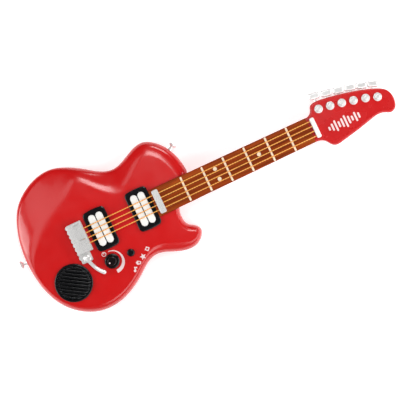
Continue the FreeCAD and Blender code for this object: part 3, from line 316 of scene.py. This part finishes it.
def make_materials():
    """One material for each slot in the record, and silver_pearl for the tuners."""
    red = (0.62, 0.0035, 0.004)
    # painted shade: the body's own red, set darker for the neck and headstock so that they match how the
    # light falls there; the plastic is the same as the body's
    neck_red_shaded = (0.54, 0.0030, 0.004)
    return {
        "red_body": plastic("red_body", red, 0.22, 0.2, depth=0.01, vary=0.03, wear=0.05, gloss=0.65),
        "red_neck": plastic("red_neck", neck_red_shaded, 0.26, 0.15, depth=0.01, vary=0.03, wear=0.05),
        "fretboard_brown": rosewood("fretboard_wood"),
        "cream": plastic("fret_cream", (0.93, 0.76, 0.55), 0.35),
        "white_trim": plastic("white_trim", (0.93, 0.92, 0.88), 0.30, 0.2, depth=0.01),
        "silver_plastic": sparkle_silver("silver_flake", (0.72, 0.71, 0.70), 0.18, 0.25, 0.32, 0.04),
        "silver_pearl": sparkle_silver("silver_pearl", (0.90, 0.89, 0.88), 0.04, 0.45, 0.20, 0.004),
        "chrome": plastic("silver_paint", (0.95, 0.94, 0.93), 0.14, 0.5, depth=0.01, vary=0.03, metallic=0.4),
        "string_gold": plastic("string_gold", (1.0, 0.46, 0.08), 0.35, 0.2),
        "black_gloss": plastic("black_gloss", (0.004, 0.004, 0.005), 0.14, 0.0, vary=0.2),
        "knob_dark": plastic("knob_dark", (0.006, 0.003, 0.0035), 0.12, 0.0, vary=0.2),
        "print_white": plastic("print_white", (0.86, 0.66, 0.66), 0.45, vary=0.04),
        "screw_steel": metal("screw_steel", (0.50, 0.50, 0.52), 0.30, (1, 6, 1)),
        "inner_black": plastic("inner_black", (0.03, 0.03, 0.032), 0.5, vary=0.15),
        "switch_grey": plastic("switch_grey", (0.20, 0.20, 0.22), 0.5),
        "board_green": plastic("board_green", (0.015, 0.14, 0.05), 0.35, 0.2, vary=0.15),
        "paper_cone": plastic("paper_cone", (0.030, 0.030, 0.033), 0.8, grain=500.0, depth=0.3),
        "frame_steel": metal("frame_steel", (0.30, 0.30, 0.32), 0.45),
        "magnet_dark": plastic("magnet_dark", (0.05, 0.05, 0.05), 0.6, grain=400.0, depth=0.2),
        "cell_metal": plastic("cell_sleeve", (0.10, 0.10, 0.11), 0.25, 0.3),
        "contact_nickel": metal("contact_nickel", (0.66, 0.62, 0.52), 0.25),
        "spring_steel": metal("spring_steel", (0.45, 0.45, 0.46), 0.25),
        "lead_red": plastic("lead_red", (0.40, 0.02, 0.02), 0.5),
        "lead_black": plastic("lead_black", (0.02, 0.02, 0.02), 0.5),
    }


# ---------------------------------------------------------------- CAD nodes

SHARP = math.radians(32)        # edges steeper than this stay crisp
SEAM_GAP = 0.01 * MM
SHELLS = ["body_front_shell", "body_back_shell", "headstock_front_shell"]
PEARL_NODES = ["tuner_posts"] + ["tuning_peg_" + str(number) for number in range(1, 7)]


def dress_cad_nodes(materials):
    """Each CAD node takes the material of its slot, with smooth shading between its hard edges."""
    for entry in frame["record"]["subparts"]:
        node = NODES[entry["node"]]
        node.data.materials.clear()
        slot = "silver_pearl" if entry["node"] in PEARL_NODES else entry["material_slot"]
        node.data.materials.append(materials[slot])
        node.data.shade_smooth()
        node.data.set_sharp_from_angle(angle=SHARP)
    blend = seam_blend()
    for name in SHELLS:
        NODES[name].modifiers.new("seam_blend", "NODES").node_group = blend
        weigh = NODES[name].modifiers.new("flat_faces_lead", "WEIGHTED_NORMAL")
        weigh.keep_sharp = True


def seam_blend():
    """Closes the seams between a shell's faces, so that the shading runs smoothly over its rounded rims."""
    tree = bpy.data.node_groups.new("seam_blend", "GeometryNodeTree")
    tree.interface.new_socket("Geometry", in_out="INPUT", socket_type="NodeSocketGeometry")
    tree.interface.new_socket("Geometry", in_out="OUTPUT", socket_type="NodeSocketGeometry")
    start = tree.nodes.new("NodeGroupInput")
    end = tree.nodes.new("NodeGroupOutput")
    clear = tree.nodes.new("GeometryNodeRemoveAttribute")
    clear.inputs["Name"].default_value = "custom_normal"
    merge = tree.nodes.new("GeometryNodeMergeByDistance")
    merge.inputs["Distance"].default_value = SEAM_GAP
    angle = tree.nodes.new("GeometryNodeInputMeshEdgeAngle")
    steep = tree.nodes.new("FunctionNodeCompare")
    steep.operation = "GREATER_THAN"
    steep.inputs["B"].default_value = SHARP
    tree.links.new(angle.outputs["Unsigned Angle"], steep.inputs["A"])
    smooth = tree.nodes.new("GeometryNodeSetShadeSmooth")
    crisp = tree.nodes.new("GeometryNodeSetShadeSmooth")
    crisp.domain = "EDGE"
    crisp.inputs["Shade Smooth"].default_value = False
    tree.links.new(steep.outputs["Result"], crisp.inputs["Selection"])
    chain = [start, clear, merge, smooth, crisp, end]
    for before, after in zip(chain, chain[1:]):
        tree.links.new(before.outputs[0], after.inputs[0])
    return tree


# ---------------------------------------------------------------- pieces made here

def add_mesh(name, verts, faces, material, body, replaced):
    """A piece that rides on a body and stands for a CAD node."""
    mesh = bpy.data.meshes.new(name)
    mesh.from_pydata([tuple(v) for v in verts], [], faces)
    mesh.shade_smooth()
    mesh.set_sharp_from_angle(angle=SHARP)
    mesh.materials.append(material)
    piece = bpy.data.objects.new(name, mesh)
    bpy.context.scene.collection.objects.link(piece)
    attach(piece, body)
    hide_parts(replaced)


def join(verts, faces, more_verts, more_faces):
    """Adds a second part to a mesh's points and faces."""
    shift = len(verts)
    verts += more_verts
    faces += [tuple(v + shift for v in face) for face in more_faces]


def tube(path, radii, sides):
    """Rings of points round a path, joined into a closed tube with flat ends."""
    verts, faces = [], []
    count = len(path)
    across = Vector((0, 0, 1))
    for i, (centre, radius) in enumerate(zip(path, radii)):
        along = (path[min(i + 1, count - 1)] - path[max(i - 1, 0)]).normalized()
        side = along.cross(across).normalized()
        up = side.cross(along)
        for k in range(sides):
            turn = 2 * math.pi * k / sides
            verts.append(centre + (side * math.cos(turn) + up * math.sin(turn)) * radius)
    for i in range(count - 1):
        for k in range(sides):
            a, b = i * sides + k, i * sides + (k + 1) % sides
            faces.append((a, b, b + sides, a + sides))
    faces.append(tuple(range(sides - 1, -1, -1)))
    faces.append(tuple(range((count - 1) * sides, count * sides)))
    return verts, faces


STRAND_SHARE = 0.5      # each strand's radius, as a share of the string's
STRAND_EASE = 0.98      # keeps the strands just inside the string's own cylinder
STRING_PITCH = 9.4 * MM
STEPS_PER_TURN = 14
STRAND_SIDES = 8


def twisted_strings(material):
    """Each string is two strands laid round one another."""
    for number in range(1, 5):
        node = "string_" + str(number)
        low, high = (Vector(corner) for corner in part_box(node))
        middle = (low + high) / 2
        radius = (high.z - low.z) / 2
        strand = radius * STRAND_SHARE
        length = high.x - low.x
        steps = round(length / STRING_PITCH * STEPS_PER_TURN)
        verts, faces = [], []
        for start in (0, math.pi):
            path = []
            for i in range(steps + 1):
                turn = start + number + 2 * math.pi * i / STEPS_PER_TURN
                swing = Vector((0, math.cos(turn), math.sin(turn))) * (radius - strand) * STRAND_EASE
                path.append(Vector((low.x + length * i / steps, middle.y, middle.z)) + swing)
            join(verts, faces, *tube(path, [strand * STRAND_EASE] * len(path), STRAND_SIDES))
        add_mesh("twisted_" + node, verts, faces, material, ROOT, node)


ARM_STEPS = 26
ARM_SIDES = 20
ARM_RADIUS = 3.0                        # these three are in millimetres
ARM_TIP_SWELL = 0.7
ARM_ROOT_SWELL = 0.6
TIP_INSET = 4.0 * MM                    # the tip's middle, inside the bar's box
ROOT_OFFSET = (-0.6 * MM, 1.2 * MM)     # where the arm starts, from the post's middle
BEND_A = (0.12, 0.36)                   # the curve's two control points, as shares of its reach
BEND_B = (0.42, 0.76)
HUB_SHARE = 0.86                        # the hub's radius, as a share of the collar's
HUB_LIFT = 0.15 * MM                    # the hub's foot, above the collar
HUB_DROP = 3.4 * MM                     # the hub's top, below the top of the bar's box


def whammy_arm(material):
    """The bar: a hub over its post, then a tapering curved arm with a fuller rounded tip."""
    low, high = (Vector(corner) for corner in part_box("whammy_bar"))
    collar_low, collar_high = (Vector(corner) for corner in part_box("whammy_collar"))
    post = (collar_low + collar_high) / 2
    height = high.z - TIP_INSET
    tip = Vector((high.x - TIP_INSET, low.y + TIP_INSET, height))
    start = Vector((post.x + ROOT_OFFSET[0], post.y + ROOT_OFFSET[1], height))
    reach = tip - start
    control_a = start + Vector((reach.x * BEND_A[0], reach.y * BEND_A[1], 0))
    control_b = start + Vector((reach.x * BEND_B[0], reach.y * BEND_B[1], 0))
    path, radii = [], []
    for i in range(ARM_STEPS + 1):
        t = i / ARM_STEPS
        spot = start * (1 - t) ** 3 + control_a * 3 * t * (1 - t) ** 2
        spot = spot + control_b * 3 * t * t * (1 - t) + tip * t ** 3
        path.append(spot)
        radii.append((ARM_RADIUS + ARM_TIP_SWELL * t ** 2 + ARM_ROOT_SWELL * (1 - t) ** 4) * MM)
    path, radii = round_ends(path, radii)
    verts, faces = tube(path, radii, ARM_SIDES)
    hub_radius = (collar_high.x - collar_low.x) / 2 * HUB_SHARE
    join(verts, faces, *dome(post, hub_radius, collar_high.z + HUB_LIFT, high.z - HUB_DROP))
    add_mesh("whammy_arm", verts, faces, material, "whammy", "whammy_bar")


CAP_ANGLES = (20, 40, 58, 72, 83)       # degrees over a rounded end at which its rings lie


def round_ends(path, radii):
    """Adds shrinking rings past both ends, so that a tube finishes in a half ball."""
    out_path, out_radii = list(path), list(radii)
    for side in (0, -1):
        end, beside = (path[0], path[1]) if side == 0 else (path[-1], path[-2])
        radius = radii[side]
        way = (end - beside).normalized()
        caps = [(math.sin(math.radians(a)), math.cos(math.radians(a))) for a in CAP_ANGLES]
        more = [(end + way * radius * out, radius * shrink) for out, shrink in caps]
        if side == 0:
            out_path = [spot for spot, _ in reversed(more)] + out_path
            out_radii = [r for _, r in reversed(more)] + out_radii
        else:
            out_path += [spot for spot, _ in more]
            out_radii += [r for _, r in more]
    return out_path, out_radii


DOME_SIDES = 40

# shares of the dome's radius and height, from its foot to its top
DOME_PROFILE = [(0.94, 0.0), (1.0, 0.12), (1.0, 0.55), (0.97, 0.74), (0.88, 0.90), (0.72, 0.98), (0.45, 1.0)]


def dome(centre, radius, bottom, top):
    """A turned disc with a soft shoulder."""
    verts, faces = [], []
    for out, up in DOME_PROFILE:
        for k in range(DOME_SIDES):
            turn = 2 * math.pi * k / DOME_SIDES
            reach = radius * out
            x = centre.x + reach * math.cos(turn)
            y = centre.y + reach * math.sin(turn)
            verts.append(Vector((x, y, bottom + (top - bottom) * up)))
    for i in range(len(DOME_PROFILE) - 1):
        for k in range(DOME_SIDES):
            a, b = i * DOME_SIDES + k, i * DOME_SIDES + (k + 1) % DOME_SIDES
            faces.append((a, b, b + DOME_SIDES, a + DOME_SIDES))
    faces.append(tuple(range(DOME_SIDES - 1, -1, -1)))
    faces.append(tuple(range(len(verts) - DOME_SIDES, len(verts))))
    return verts, faces


# ---------------------------------------------------------------- the scene

def main():
    scene = bpy.context.scene
    scene.view_settings.view_transform = "Standard"
    make_camera()
    make_lights()
    materials = make_materials()
    make_floor()
    dress_cad_nodes(materials)
    twisted_strings(materials["string_gold"])
    whammy_arm(materials["chrome"])


main()
